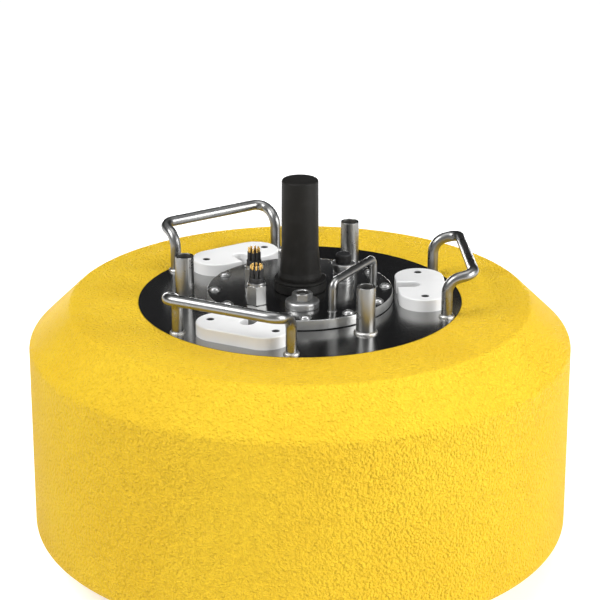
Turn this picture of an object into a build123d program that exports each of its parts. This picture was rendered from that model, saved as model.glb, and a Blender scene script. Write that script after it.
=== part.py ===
from build123d import *
import math
import os

os.makedirs("parts", exist_ok=True)

# Foam hull
hull_radius = 300
hull_height = 300
top_bevel_width = 45
top_bevel_drop = 44
bottom_bevel_width = 56
bottom_bevel_rise = 42
top_edge_round = 6
shoulder_round = 10
bilge_round = 14
bottom_edge_round = 9
foam_gap = 0.3

# Steel plates that hold the foam between them
plate_thickness = 6
plate_margin = 1.3
bottom_recess = 48

# Data well: a pipe with a thick top flange under the bolted lid
well_outer_radius = 84.15
well_wall = 3.4
flange_width = 17.35
flange_thickness = 14
flange_gap = 0.2
gasket_thickness = 0.8
gasket_setback = 1.5
battery_gap = 8
battery_height = 150

# Lid and its ring of screws
lid_overhang = 1
lid_thickness = 11
lid_edge_round = 1.2
screw_count = 12
screw_inset = 8
screw_hole_radius = 3.3
screw_tap_radius = 2.5
screw_tap_depth = 11
shank_gap = 0.2

# Deck fittings come in threes: handles and cable blocks on the spokes, sockets between them
spoke_count = 3
block_lid_gap = 5
block_length = 106
block_width = 54.5
block_height = 14
block_edge_round = 1.5
block_hole_radius = 4.5
block_hole_inset = 13.9
slot_width = 16
slot_depth = 25.5
pass_outer_radius = 24.15
pass_wall = 2.8

# Lifting handles, bent from round bar
bar_radius = 6
handle_block_gap = 8.7
handle_foot_offset = 20.25
handle_leg_height = 41
handle_grip_height = 48.6
handle_grip_reach = 29.5
handle_leg_bend = 18
handle_corner_bend = 13
handle_weld_width = 2
handle_weld_height = 3

# Mast sockets, cut from pipe
socket_lid_gap = 12.2
socket_outer_radius = 10.3
socket_wall = 2
socket_height = 52
socket_weld_width = 2
socket_weld_height = 3.5

# Mooring lugs under the bottom plate
lug_thickness = 12
lug_width = 60
lug_tip_radius = 22
lug_hole_radius = 10
lug_hole_drop = 20

# Antenna on the lid's centre
stem_radius = 10
collar_radius = 28.7
collar_height = 13
collar_groove_height = 10
collar_groove_size = 1
antenna_flare_radius = 24
antenna_flare_height = 4
antenna_foot_radius = 22.3
antenna_foot_height = 9
antenna_radius = 20.5
antenna_taper_top = 37
antenna_top_radius = 20.1
antenna_height = 112.6
antenna_flare_round = 2
antenna_step_round = 4
antenna_taper_round = 20
antenna_top_round = 2.2

# Lid handle, bent from thinner bar; each fitting's share is its distance from the axis over the lid's radius
lid_bar_radius = 4.25
lid_handle_share = 0.65
lid_handle_angle = -33.3
lid_handle_span = 92
lid_handle_height = 32.8
lid_handle_bend = 8

# Relief valve on the lid
valve_share = 0.566
valve_angle = -91
valve_flange_radius = 18.4
valve_flange_height = 8
valve_flange_round = 2.5
valve_shank_radius = 8
valve_poppet_radius = 4.5
valve_poppet_drop = 2.5
valve_poppet_round = 1
valve_nut_width = 19.6
valve_nut_height = 8.5
valve_nut_turn = 28
valve_nut_gap = 0.3
valve_nut_bore_radius = 6.6
valve_nut_bore_depth = 5

# Pin connectors on the lid: share of the lid's radius, angle about the axis, turn of the hexagon
pin_connectors = [
    (0.654, -138.0, 45.0),
    (0.502, 166.6, 40.0),
]
shell_shank_radius = 7
shell_hex_width = 20.4
shell_hex_height = 22
shell_ring_radius = 9.7
shell_ring_height = 3
shell_ring_round = 1.1
insert_radius = 8.3
insert_height = 5
pin_count = 8
pin_circle_radius = 5.7
pin_sleeve_radius = 1.8
pin_sleeve_height = 9.5
contact_radius = 1.15
contact_height = 5
contact_tip_bevel = 0.6

# Capped connector on the lid
capped_share = 0.509
capped_angle = 19.2
capped_shank_radius = 7
capped_body_radius = 11.6
capped_body_height = 19
capped_groove_count = 4
capped_groove_depth = 0.8
capped_groove_pitch = 3.4
capped_rim_radius = 13
capped_rim_height = 4
cap_radius = 8.8
cap_height = 10.5
cap_edge_round = 1.2

# Places worked out from the sizes above
deck_top = hull_height
deck_under = deck_top - plate_thickness
floor_top = bottom_recess + plate_thickness
well_inner_radius = well_outer_radius - well_wall
flange_radius = well_outer_radius + flange_width
flange_under = deck_top - flange_thickness
lid_radius = flange_radius + lid_overhang
lid_under = deck_top + gasket_thickness
lid_top = lid_under + lid_thickness
screw_circle_radius = lid_radius - screw_inset
lid_handle_offset = lid_radius * lid_handle_share
valve_offset = lid_radius * valve_share
capped_offset = lid_radius * capped_share
block_centre = lid_radius + block_lid_gap + block_width / 2
block_inner_edge = lid_radius + block_lid_gap
pass_inner_radius = pass_outer_radius - pass_wall
foot_spoke = block_centre + handle_foot_offset
foot_side = block_length / 2 + handle_block_gap + bar_radius
foot_weld_radius = bar_radius + handle_weld_width
socket_weld_radius = socket_outer_radius + socket_weld_width
socket_circle_radius = lid_radius + socket_lid_gap + socket_weld_radius
plate_radius = math.hypot(foot_spoke, foot_side) + foot_weld_radius + plate_margin
lug_circle_radius = (well_outer_radius + plate_radius) / 2
spoke_angles = [360 / spoke_count * number for number in range(spoke_count)]
between_angles = [angle + 180 / spoke_count for angle in spoke_angles]


def spoke_plane(angle, height):
    """Level plane whose x axis points outwards at an angle about the buoy's axis."""
    return Plane.XY.rotated((0, 0, angle)).offset(height)


def post_plane(radius, angle, height):
    """Upright plane on a post's centre line, with its y axis up the post."""
    foot = Vector(radius, 0, height).rotate(Axis.Z, angle)
    outwards = Vector(1, 0, 0).rotate(Axis.Z, angle)
    sideways = Vector(0, -1, 0).rotate(Axis.Z, angle)
    return Plane(origin=foot, x_dir=outwards, z_dir=sideways)


# Foam hull: one turned section with pockets for both plates, the flange and the well
pocket_radius = plate_radius + foam_gap
flange_pocket = flange_radius + foam_gap
well_pocket = well_outer_radius + foam_gap
with BuildPart() as hull_foam:
    with BuildSketch(Plane.XZ):
        with BuildLine():
            outside = FilletPolyline(
                (pocket_radius, 0),
                (hull_radius - bottom_bevel_width, 0),
                (hull_radius, bottom_bevel_rise),
                (hull_radius, deck_top - top_bevel_drop),
                (hull_radius - top_bevel_width, deck_top),
                (pocket_radius, deck_top),
                radius=[bottom_edge_round, bilge_round, shoulder_round, top_edge_round],
            )
            Polyline(
                outside @ 1,
                (pocket_radius, deck_under),
                (flange_pocket, deck_under),
                (flange_pocket, flange_under),
                (well_pocket, flange_under),
                (well_pocket, floor_top),
                (pocket_radius, floor_top),
                outside @ 0,
            )
        make_face()
    revolve(axis=Axis.Z)
    with BuildSketch(Plane.XY):
        with PolarLocations(block_centre, spoke_count):
            Circle(pass_outer_radius + foam_gap)
    extrude(amount=hull_height, mode=Mode.SUBTRACT)
hull_foam.part.label = "hull_foam"
export_step(hull_foam.part, "parts/hull_foam.step")

# Bottom plate: closes the well and carries the mooring lugs
with BuildPart() as bottom_plate:
    with BuildSketch(Plane.XY.offset(bottom_recess)):
        Circle(plate_radius)
        with PolarLocations(block_centre, spoke_count):
            Circle(pass_inner_radius, mode=Mode.SUBTRACT)
    extrude(amount=plate_thickness)
bottom_plate.part.label = "bottom_plate"
export_step(bottom_plate.part, "parts/bottom_plate.step")

# Mooring lugs: upright plates set along the radius, with a round tip about the pin hole
hole_height = bottom_recess - lug_hole_drop
for number, angle in enumerate(between_angles, start=1):
    with BuildPart() as mooring_lug:
        with BuildSketch(post_plane(lug_circle_radius, angle, 0)):
            with BuildLine():
                Polyline(
                    (-lug_tip_radius, hole_height),
                    (-lug_width / 2, bottom_recess),
                    (lug_width / 2, bottom_recess),
                    (lug_tip_radius, hole_height),
                )
                RadiusArc((lug_tip_radius, hole_height), (-lug_tip_radius, hole_height), lug_tip_radius)
            make_face()
            with Locations((0, hole_height)):
                Circle(lug_hole_radius, mode=Mode.SUBTRACT)
        extrude(amount=lug_thickness / 2, both=True)
    mooring_lug.part.label = f"mooring_lug_{number}"
    export_step(mooring_lug.part, f"parts/mooring_lug_{number}.step")

# Well pipe, its bolting flange and the battery pack that stands on the floor
with BuildPart() as well_pipe:
    with BuildSketch(Plane.XY.offset(floor_top)):
        Circle(well_outer_radius)
        Circle(well_inner_radius, mode=Mode.SUBTRACT)
    extrude(amount=flange_under - floor_top)
well_pipe.part.label = "well_pipe"
export_step(well_pipe.part, "parts/well_pipe.step")

with BuildPart() as well_flange:
    with BuildSketch(Plane.XY.offset(flange_under)):
        Circle(flange_radius)
        Circle(well_inner_radius, mode=Mode.SUBTRACT)
    extrude(amount=flange_thickness)
    with Locations((0, 0, deck_top)):
        with PolarLocations(screw_circle_radius, screw_count):
            Hole(screw_tap_radius, depth=screw_tap_depth)
well_flange.part.label = "well_flange"
export_step(well_flange.part, "parts/well_flange.step")

with BuildPart() as battery_pack:
    with BuildSketch(Plane.XY.offset(floor_top)):
        Circle(well_inner_radius - battery_gap)
    extrude(amount=battery_height)
battery_pack.part.label = "battery_pack"
export_step(battery_pack.part, "parts/battery_pack.step")

# Deck plate: flush with the foam, bored for the flange and the three cable passes
with BuildPart() as deck_plate:
    with BuildSketch(Plane.XY.offset(deck_under)):
        Circle(plate_radius)
        Circle(flange_radius + flange_gap, mode=Mode.SUBTRACT)
        with PolarLocations(block_centre, spoke_count):
            Circle(pass_inner_radius, mode=Mode.SUBTRACT)
    extrude(amount=plate_thickness)
deck_plate.part.label = "deck_plate"
export_step(deck_plate.part, "parts/deck_plate.step")

# Cable passes: pipes from the deck down through the foam to the bottom plate
for number, angle in enumerate(spoke_angles, start=1):
    with BuildPart() as cable_pass:
        with BuildSketch(spoke_plane(angle, floor_top)):
            with Locations((block_centre, 0)):
                Circle(pass_outer_radius)
                Circle(pass_inner_radius, mode=Mode.SUBTRACT)
        extrude(amount=deck_under - floor_top)
    cable_pass.part.label = f"cable_pass_{number}"
    export_step(cable_pass.part, f"parts/cable_pass_{number}.step")

# Cable blocks: round-ended slabs with two screw holes and a slot open towards the lid
for number, angle in enumerate(spoke_angles, start=1):
    with BuildPart() as cable_block:
        with BuildSketch(spoke_plane(angle, deck_top)):
            with Locations((block_centre, 0)):
                SlotOverall(block_length, block_width, rotation=90)
            slot_end = block_inner_edge + slot_depth - slot_width / 2
            with Locations((slot_end, 0)):
                Circle(slot_width / 2, mode=Mode.SUBTRACT)
                Rectangle(slot_depth, slot_width, align=(Align.MAX, Align.CENTER), mode=Mode.SUBTRACT)
        extrude(amount=block_height)
        fillet(cable_block.faces().sort_by(Axis.Z)[-1].outer_wire().edges(), block_edge_round)
        with Locations(spoke_plane(angle, deck_top + block_height)):
            hole_side = block_length / 2 - block_hole_inset
            with Locations((block_centre, hole_side), (block_centre, -hole_side)):
                Hole(block_hole_radius, depth=block_height)
    cable_block.part.label = f"cable_block_{number}"
    export_step(cable_block.part, f"parts/cable_block_{number}.step")

# Lifting handles: round bar bent up, outwards and across, with a weld bead at each foot
for number, angle in enumerate(spoke_angles, start=1):
    grip_spoke = foot_spoke + handle_grip_reach
    with BuildPart() as lift_handle:
        with BuildLine(spoke_plane(angle, deck_top)):
            centre_line = FilletPolyline(
                (foot_spoke, -foot_side, 0),
                (foot_spoke, -foot_side, handle_leg_height),
                (grip_spoke, -foot_side, handle_grip_height),
                (grip_spoke, foot_side, handle_grip_height),
                (foot_spoke, foot_side, handle_leg_height),
                (foot_spoke, foot_side, 0),
                radius=[handle_leg_bend, handle_corner_bend, handle_corner_bend, handle_leg_bend],
            )
        with BuildSketch(Plane(origin=centre_line @ 0, z_dir=centre_line % 0)):
            Circle(bar_radius)
        sweep(path=centre_line)
        with BuildSketch(spoke_plane(angle, deck_top)):
            with Locations((foot_spoke, -foot_side), (foot_spoke, foot_side)):
                Circle(foot_weld_radius)
        weld_slope = math.degrees(math.atan2(handle_weld_width, handle_weld_height))
        extrude(amount=handle_weld_height, taper=weld_slope)
    lift_handle.part.label = f"lift_handle_{number}"
    export_step(lift_handle.part, f"parts/lift_handle_{number}.step")

# Mast sockets: open pipes that take the legs of a mast, each with a weld bead at its foot
for number, angle in enumerate(between_angles, start=1):
    with BuildPart() as mast_socket:
        with BuildSketch(post_plane(socket_circle_radius, angle, deck_top)):
            Polygon(
                (socket_outer_radius - socket_wall, 0),
                (socket_weld_radius, 0),
                (socket_outer_radius, socket_weld_height),
                (socket_outer_radius, socket_height),
                (socket_outer_radius - socket_wall, socket_height),
                align=None,
            )
        revolve(axis=Axis(Vector(socket_circle_radius, 0, 0).rotate(Axis.Z, angle), (0, 0, 1)))
    mast_socket.part.label = f"mast_socket_{number}"
    export_step(mast_socket.part, f"parts/mast_socket_{number}.step")

# Gasket between the flange and the lid
with BuildPart() as lid_gasket:
    with BuildSketch(Plane.XY.offset(deck_top)):
        Circle(flange_radius)
        Circle(well_inner_radius + gasket_setback, mode=Mode.SUBTRACT)
        with PolarLocations(screw_circle_radius, screw_count):
            Circle(screw_hole_radius, mode=Mode.SUBTRACT)
    extrude(amount=gasket_thickness)
lid_gasket.part.label = "lid_gasket"
export_step(lid_gasket.part, "parts/lid_gasket.step")

# Lid: a thick disc, drilled for its screws and for the shanks of its fittings
shank_holes = [
    (0, 0, stem_radius),
    (valve_offset, valve_angle, valve_shank_radius),
    (capped_offset, capped_angle, capped_shank_radius),
]
shank_holes += [(lid_radius * share, angle, shell_shank_radius) for share, angle, _ in pin_connectors]
with BuildPart() as well_lid:
    with BuildSketch(Plane.XY.offset(lid_under)):
        Circle(lid_radius)
        with PolarLocations(screw_circle_radius, screw_count):
            Circle(screw_hole_radius, mode=Mode.SUBTRACT)
        for offset, angle, radius in shank_holes:
            with PolarLocations(offset, 1, start_angle=angle):
                Circle(radius + shank_gap, mode=Mode.SUBTRACT)
    extrude(amount=lid_thickness)
    fillet(well_lid.faces().sort_by(Axis.Z)[-1].outer_wire().edges(), lid_edge_round)
well_lid.part.label = "well_lid"
export_step(well_lid.part, "parts/well_lid.step")

# Lid handle: thinner bar bent to a square loop and welded to the lid
with BuildPart() as lid_handle:
    with BuildLine(spoke_plane(lid_handle_angle, lid_top)):
        lid_handle_line = FilletPolyline(
            (lid_handle_offset, -lid_handle_span / 2, 0),
            (lid_handle_offset, -lid_handle_span / 2, lid_handle_height),
            (lid_handle_offset, lid_handle_span / 2, lid_handle_height),
            (lid_handle_offset, lid_handle_span / 2, 0),
            radius=lid_handle_bend,
        )
    with BuildSketch(Plane(origin=lid_handle_line @ 0, z_dir=lid_handle_line % 0)):
        Circle(lid_bar_radius)
    sweep(path=lid_handle_line)
lid_handle.part.label = "lid_handle"
export_step(lid_handle.part, "parts/lid_handle.step")

# Antenna base: a grooved collar with a stem through the lid
groove_low = lid_top + collar_groove_height
with BuildPart() as antenna_base:
    with BuildSketch(Plane.XZ):
        Polygon(
            (0, lid_under),
            (stem_radius, lid_under),
            (stem_radius, lid_top),
            (collar_radius, lid_top),
            (collar_radius, groove_low),
            (collar_radius - collar_groove_size, groove_low),
            (collar_radius - collar_groove_size, groove_low + collar_groove_size),
            (collar_radius, groove_low + collar_groove_size),
            (collar_radius, lid_top + collar_height),
            (0, lid_top + collar_height),
            align=None,
        )
    revolve(axis=Axis.Z)
antenna_base.part.label = "antenna_base"
export_step(antenna_base.part, "parts/antenna_base.step")

# Antenna housing: a flared foot, a short taper and a closed tube with a slight draft
antenna_foot = lid_top + collar_height
with BuildPart() as antenna:
    with BuildSketch(Plane.XZ):
        with BuildLine():
            antenna_side = FilletPolyline(
                (0, antenna_foot),
                (antenna_flare_radius, antenna_foot),
                (antenna_flare_radius, antenna_foot + antenna_flare_height),
                (antenna_foot_radius, antenna_foot + antenna_foot_height),
                (antenna_radius, antenna_foot + antenna_taper_top),
                (antenna_top_radius, antenna_foot + antenna_height),
                (0, antenna_foot + antenna_height),
                radius=[0, antenna_flare_round, antenna_step_round, antenna_taper_round, antenna_top_round],
            )
            Line(antenna_side @ 1, antenna_side @ 0)
        make_face()
    revolve(axis=Axis.Z)
antenna.part.label = "antenna"
export_step(antenna.part, "parts/antenna.step")

# Relief valve: a flanged body with a poppet, and the hexagon nut that guards it
valve_plane = post_plane(valve_offset, valve_angle, lid_top)
nut_foot = valve_flange_height
nut_top = nut_foot + valve_nut_height
with BuildPart() as valve_body:
    with BuildSketch(valve_plane):
        with BuildLine():
            valve_side = FilletPolyline(
                (0, -lid_thickness),
                (valve_shank_radius, -lid_thickness),
                (valve_shank_radius, 0),
                (valve_flange_radius, 0),
                (valve_flange_radius, valve_flange_height),
                (valve_poppet_radius, valve_flange_height),
                (valve_poppet_radius, nut_top - valve_poppet_drop),
                (0, nut_top - valve_poppet_drop),
                radius=[0, 0, 0, valve_flange_round, 0, valve_poppet_round],
            )
            Line(valve_side @ 1, valve_side @ 0)
        make_face()
    revolve(axis=Axis(valve_plane.origin, (0, 0, 1)))
valve_body.part.label = "valve_body"
export_step(valve_body.part, "parts/valve_body.step")

with BuildPart() as valve_nut:
    with BuildSketch(spoke_plane(valve_angle, lid_top + nut_foot)):
        with Locations((valve_offset, 0)):
            RegularPolygon(valve_nut_width / 2, 6, major_radius=False, rotation=valve_nut_turn)
            Circle(valve_poppet_radius + valve_nut_gap, mode=Mode.SUBTRACT)
    extrude(amount=valve_nut_height)
    with BuildSketch(spoke_plane(valve_angle, lid_top + nut_top)):
        with Locations((valve_offset, 0)):
            Circle(valve_nut_bore_radius)
    extrude(amount=-valve_nut_bore_depth, mode=Mode.SUBTRACT)
valve_nut.part.label = "valve_nut"
export_step(valve_nut.part, "parts/valve_nut.step")

# Pin connectors: hexagon shell, rubber insert with sleeved pins, bare contacts on top
shell_top = shell_hex_height + shell_ring_height
for number, (share, angle, hex_turn) in enumerate(pin_connectors, start=1):
    offset = lid_radius * share
    with BuildPart() as connector_shell:
        with BuildSketch(spoke_plane(angle, lid_under)):
            with Locations((offset, 0)):
                Circle(shell_shank_radius)
        extrude(amount=lid_thickness)
        with BuildSketch(spoke_plane(angle, lid_top)):
            with Locations((offset, 0)):
                RegularPolygon(shell_hex_width / 2, 6, major_radius=False, rotation=hex_turn)
        extrude(amount=shell_hex_height)
        with BuildSketch(spoke_plane(angle, lid_top + shell_hex_height)):
            with Locations((offset, 0)):
                Circle(shell_ring_radius)
        extrude(amount=shell_ring_height)
        fillet(connector_shell.faces().sort_by(Axis.Z)[-1].edges(), shell_ring_round)
    connector_shell.part.label = f"connector_shell_{number}"
    export_step(connector_shell.part, f"parts/connector_shell_{number}.step")

    with BuildPart() as connector_insert:
        with BuildSketch(spoke_plane(angle, lid_top + shell_top)):
            with Locations((offset, 0)):
                Circle(insert_radius)
        extrude(amount=insert_height)
        with BuildSketch(spoke_plane(angle, lid_top + shell_top + insert_height)):
            with Locations((offset, 0)):
                with PolarLocations(pin_circle_radius, pin_count):
                    Circle(pin_sleeve_radius)
        extrude(amount=pin_sleeve_height)
    connector_insert.part.label = f"connector_insert_{number}"
    export_step(connector_insert.part, f"parts/connector_insert_{number}.step")

    with BuildPart() as connector_contacts:
        contact_foot = lid_top + shell_top + insert_height + pin_sleeve_height
        with BuildSketch(spoke_plane(angle, contact_foot)):
            with Locations((offset, 0)):
                with PolarLocations(pin_circle_radius, pin_count):
                    Circle(contact_radius)
        extrude(amount=contact_height)
        chamfer(connector_contacts.faces().group_by(Axis.Z)[-1].edges(), contact_tip_bevel)
    connector_contacts.part.label = f"connector_contacts_{number}"
    export_step(connector_contacts.part, f"parts/connector_contacts_{number}.step")

# Capped connector: a grooved round body with a rim, closed by a screw cap
capped_plane = post_plane(capped_offset, capped_angle, lid_top)
capped_axis = Axis(capped_plane.origin, (0, 0, 1))
capped_top = capped_body_height + capped_rim_height
groove_heights = [capped_groove_pitch * (step + 1) for step in range(capped_groove_count)]
with BuildPart() as capped_shell:
    with BuildSketch(capped_plane):
        Polygon(
            (0, -lid_thickness),
            (capped_shank_radius, -lid_thickness),
            (capped_shank_radius, 0),
            (capped_body_radius, 0),
            (capped_body_radius, capped_body_height),
            (capped_rim_radius, capped_body_height),
            (capped_rim_radius, capped_top),
            (0, capped_top),
            align=None,
        )
        for height in groove_heights:
            with Locations((capped_body_radius, height)):
                Rectangle(2 * capped_groove_depth, capped_groove_pitch / 2, mode=Mode.SUBTRACT)
    revolve(axis=capped_axis)
capped_shell.part.label = "capped_shell"
export_step(capped_shell.part, "parts/capped_shell.step")

with BuildPart() as connector_cap:
    with BuildSketch(spoke_plane(capped_angle, lid_top + capped_top)):
        with Locations((capped_offset, 0)):
            Circle(cap_radius)
    extrude(amount=cap_height)
    fillet(connector_cap.faces().sort_by(Axis.Z)[-1].edges(), cap_edge_round)
connector_cap.part.label = "connector_cap"
export_step(connector_cap.part, "parts/connector_cap.step")
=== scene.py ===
import math

import bmesh
import bpy
from mathutils import Matrix, Vector


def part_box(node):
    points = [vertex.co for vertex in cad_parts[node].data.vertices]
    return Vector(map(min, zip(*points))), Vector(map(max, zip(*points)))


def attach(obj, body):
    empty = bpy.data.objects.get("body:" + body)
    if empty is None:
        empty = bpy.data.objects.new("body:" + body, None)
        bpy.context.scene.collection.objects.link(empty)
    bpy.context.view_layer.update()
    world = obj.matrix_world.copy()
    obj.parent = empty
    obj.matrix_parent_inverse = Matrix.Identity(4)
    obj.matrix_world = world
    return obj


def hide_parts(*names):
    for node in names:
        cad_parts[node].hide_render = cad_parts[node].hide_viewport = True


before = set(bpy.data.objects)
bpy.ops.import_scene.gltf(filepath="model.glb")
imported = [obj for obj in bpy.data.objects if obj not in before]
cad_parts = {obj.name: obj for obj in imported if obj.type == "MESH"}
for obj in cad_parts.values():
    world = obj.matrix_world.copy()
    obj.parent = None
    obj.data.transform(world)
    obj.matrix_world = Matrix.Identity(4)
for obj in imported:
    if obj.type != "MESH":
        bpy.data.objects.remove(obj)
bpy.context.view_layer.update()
scene = bpy.context.scene

# Foam hull: closed-cell foam cast round the steel frame, under a thick sprayed yellow skin.
# The skin sets with a fine leathery grain, a little weaker above the shoulder, and painted shade darkens the
# grain's creases.
mm = 0.001
hull_low, hull_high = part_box("hull_foam")
deck_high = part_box("deck_plate")[1]
deck_top = deck_high.z
hull_radius = min(hull_high.x, hull_high.y, -hull_low.x, -hull_low.y)
foam_gap = 0.3 * mm
plate_pocket = deck_high.x + foam_gap
lower_bevel_width = 56 * mm
lower_bevel_rise = 42 * mm
shoulder_width = 45 * mm
shoulder_drop = 44 * mm
lower_lip_round = 2 * mm
bottom_edge_round = 9 * mm
bilge_round = 14 * mm
shoulder_round = 10 * mm
top_edge_round = 6 * mm
upper_lip_round = 0.8 * mm
merge_distance = 0.0005 * mm
skin_yellow = (0.93, 0.61, 0.032)
skin_yellow_worn = (0.89, 0.565, 0.028)
skin_crease_shade = (0.74, 0.42, 0.018)
skin_gloss = 0.12
pebble_scale = 270
pebble_smoothness = 0.35
pebble_randomness = 0.8
worm_scale = 390
sand_scale = 480
sand_share = 0.6
crease_shade_share = 0.2
grain_depth = 2.8 * mm
grain_tilt = math.radians(54.7)
grain_fade_low = deck_top - 48 * mm
grain_fade_high = deck_top - 40 * mm
grain_above_shoulder = 0.8
hull_corners = [
    (plate_pocket, hull_low.z, lower_lip_round),
    (hull_radius - lower_bevel_width, hull_low.z, bottom_edge_round),
    (hull_radius, hull_low.z + lower_bevel_rise, bilge_round),
    (hull_radius, deck_top - shoulder_drop, shoulder_round),
    (hull_radius - shoulder_width, deck_top, top_edge_round),
    (plate_pocket, deck_top, upper_lip_round),
]


def rounded(corners, steps=8):
    """Closed outline through corners given as (x, y, radius), each corner turned into an arc."""
    points = []
    for index, (x, y, radius) in enumerate(corners):
        corner = Vector((x, y))
        if not radius:
            points.append(corner)
            continue
        back = (Vector(corners[index - 1][:2]) - corner).normalized()
        ahead = (Vector(corners[(index + 1) % len(corners)][:2]) - corner).normalized()
        half_angle = back.angle(ahead) / 2
        centre = corner + (back + ahead).normalized() * radius / math.sin(half_angle)
        first = (corner + back * radius / math.tan(half_angle) - centre).normalized()
        last = (corner + ahead * radius / math.tan(half_angle) - centre).normalized()
        points += [centre + first.slerp(last, step / steps) * radius for step in range(steps + 1)]
    return points


def turned_mesh(name, outline, turns=128, centre=(0, 0), first_angle=0):
    """Mesh turned about an upright axis from a closed outline of (radius, height) points.

    A point may hold a third value: its radius is then out to the flats of a hexagon, cut back to that value.
    """
    shape = bmesh.new()
    rings = []
    for turn in range(turns):
        angle = 2 * math.pi * turn / turns
        flat = math.pi / 3
        to_corner = 1 / math.cos((angle + flat / 2) % flat - flat / 2)
        ring = []
        for radius, height, *cut in outline:
            reach = min(radius * to_corner, cut[0]) if cut else radius
            x = centre[0] + reach * math.cos(angle + first_angle)
            y = centre[1] + reach * math.sin(angle + first_angle)
            ring.append(shape.verts.new((x, y, height)))
        rings.append(ring)
    for turn, ring in enumerate(rings):
        following = rings[(turn + 1) % turns]
        for index in range(len(outline)):
            after = (index + 1) % len(outline)
            shape.faces.new((ring[index], following[index], following[after], ring[after]))
    bmesh.ops.remove_doubles(shape, verts=shape.verts, dist=merge_distance)
    bmesh.ops.recalc_face_normals(shape, faces=shape.faces)
    mesh = bpy.data.meshes.new(name)
    shape.to_mesh(mesh)
    shape.free()
    return mesh


def placed(name, mesh, finish, sharp_angle=35):
    """Object for a finished mesh, shaded smooth except across sharp edges, with one finish."""
    mesh.shade_smooth()
    mesh.set_sharp_from_angle(angle=math.radians(sharp_angle))
    mesh.materials.clear()
    mesh.materials.append(finish)
    piece = bpy.data.objects.new(name, mesh)
    scene.collection.objects.link(piece)
    return piece


def new_finish(name, colour, roughness, metallic=0.0):
    """Material with its shader's plain values set, its tree, its shader and its Object coordinates."""
    finish = bpy.data.materials.new(name)
    finish.use_nodes = True
    tree = finish.node_tree
    shader = tree.nodes["Principled BSDF"]
    shader.inputs["Base Color"].default_value = (*colour, 1)
    shader.inputs["Roughness"].default_value = roughness
    shader.inputs["Metallic"].default_value = metallic
    place = tree.nodes.new("ShaderNodeTexCoord").outputs["Object"]
    return finish, tree, shader, place


def noise_of(tree, place, scale, detail=2.0, distortion=0.0):
    """Noise over a place vector, as a value from 0 to 1."""
    noise = tree.nodes.new("ShaderNodeTexNoise")
    noise.inputs["Scale"].default_value = scale
    noise.inputs["Detail"].default_value = detail
    noise.inputs["Distortion"].default_value = distortion
    tree.links.new(place, noise.inputs["Vector"])
    return noise.outputs["Fac"]


def ranged(tree, value, low, high, out_low, out_high):
    """Value mapped smoothly from one range to another and held at its ends."""
    ramp = tree.nodes.new("ShaderNodeMapRange")
    ramp.interpolation_type = "SMOOTHSTEP"
    ramp.inputs["From Min"].default_value = low
    ramp.inputs["From Max"].default_value = high
    ramp.inputs["To Min"].default_value = out_low
    ramp.inputs["To Max"].default_value = out_high
    tree.links.new(value, ramp.inputs["Value"])
    return ramp.outputs["Result"]


def mixed(tree, share, one, other):
    """Colour between two colours by a share."""
    mix = tree.nodes.new("ShaderNodeMix")
    mix.data_type = "RGBA"
    mix.inputs[6].default_value = (*one, 1)
    mix.inputs[7].default_value = (*other, 1)
    tree.links.new(share, mix.inputs[0])
    return mix.outputs[2]


def reckoned(tree, operation, first, second):
    """Result of a math node on two values, each a socket or a number."""
    node = tree.nodes.new("ShaderNodeMath")
    node.operation = operation
    for socket, value in zip(node.inputs, (first, second)):
        if isinstance(value, (int, float)):
            socket.default_value = value
        else:
            tree.links.new(value, socket)
    return node.outputs[0]


def bumped(tree, shader, height, depth, strength=1.0):
    """Bump of a given depth on the shader's normal, from a height between 0 and 1."""
    bump = tree.nodes.new("ShaderNodeBump")
    bump.inputs["Distance"].default_value = depth
    bump.inputs["Strength"].default_value = strength
    tree.links.new(height, bump.inputs["Height"])
    tree.links.new(bump.outputs["Normal"], shader.inputs["Normal"])


foam_skin, tree, shader, place = new_finish("foam_skin", skin_yellow, 0.55)
shader.inputs["Specular IOR Level"].default_value = skin_gloss
blotches = ranged(tree, noise_of(tree, place, 7, 3), 0.35, 0.7, 0, 1)
height_axis = tree.nodes.new("ShaderNodeSeparateXYZ")
tree.links.new(place, height_axis.inputs[0])
on_wall = ranged(tree, height_axis.outputs["Z"], grain_fade_low, grain_fade_high, 1, grain_above_shoulder)
pebbles = tree.nodes.new("ShaderNodeTexVoronoi")
pebbles.feature = "SMOOTH_F1"
pebbles.inputs["Scale"].default_value = pebble_scale
pebbles.inputs["Smoothness"].default_value = pebble_smoothness
pebbles.inputs["Randomness"].default_value = pebble_randomness
tilted = tree.nodes.new("ShaderNodeMapping")
tilted.inputs["Rotation"].default_value = Matrix.Rotation(grain_tilt, 3, Vector((1, -1, 0))).to_euler()
tree.links.new(place, tilted.inputs["Vector"])
tree.links.new(tilted.outputs["Vector"], pebbles.inputs["Vector"])
worms = noise_of(tree, place, worm_scale, 1.0, 0.3)
leather = reckoned(tree, "SUBTRACT", ranged(tree, worms, 0.3, 0.7, 0.35, 0.85), pebbles.outputs["Distance"])
sand = noise_of(tree, place, sand_scale, 2)
coarse = reckoned(tree, "MULTIPLY", leather, on_wall)
fine = reckoned(tree, "MULTIPLY", sand, sand_share)
bumped(tree, shader, reckoned(tree, "ADD", coarse, fine), grain_depth)
even_skin = mixed(tree, blotches, skin_yellow, skin_yellow_worn)
# Painted shade: the skin's colour goes darker in the grain's creases on the wall.
crease_shade_mask = reckoned(tree, "MULTIPLY", ranged(tree, leather, -0.35, 0.15, crease_shade_share, 0), on_wall)
crease_shaded_skin = mixed(tree, crease_shade_mask, skin_yellow, skin_crease_shade)
tree.links.new(even_skin, crease_shaded_skin.node.inputs[6])
tree.links.new(crease_shaded_skin, shader.inputs["Base Color"])

hull_skin = placed("hull_skin", turned_mesh("hull_skin", rounded(hull_corners), turns=288), foam_skin, 50)
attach(hull_skin, "hull")
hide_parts("hull_foam")

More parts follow.
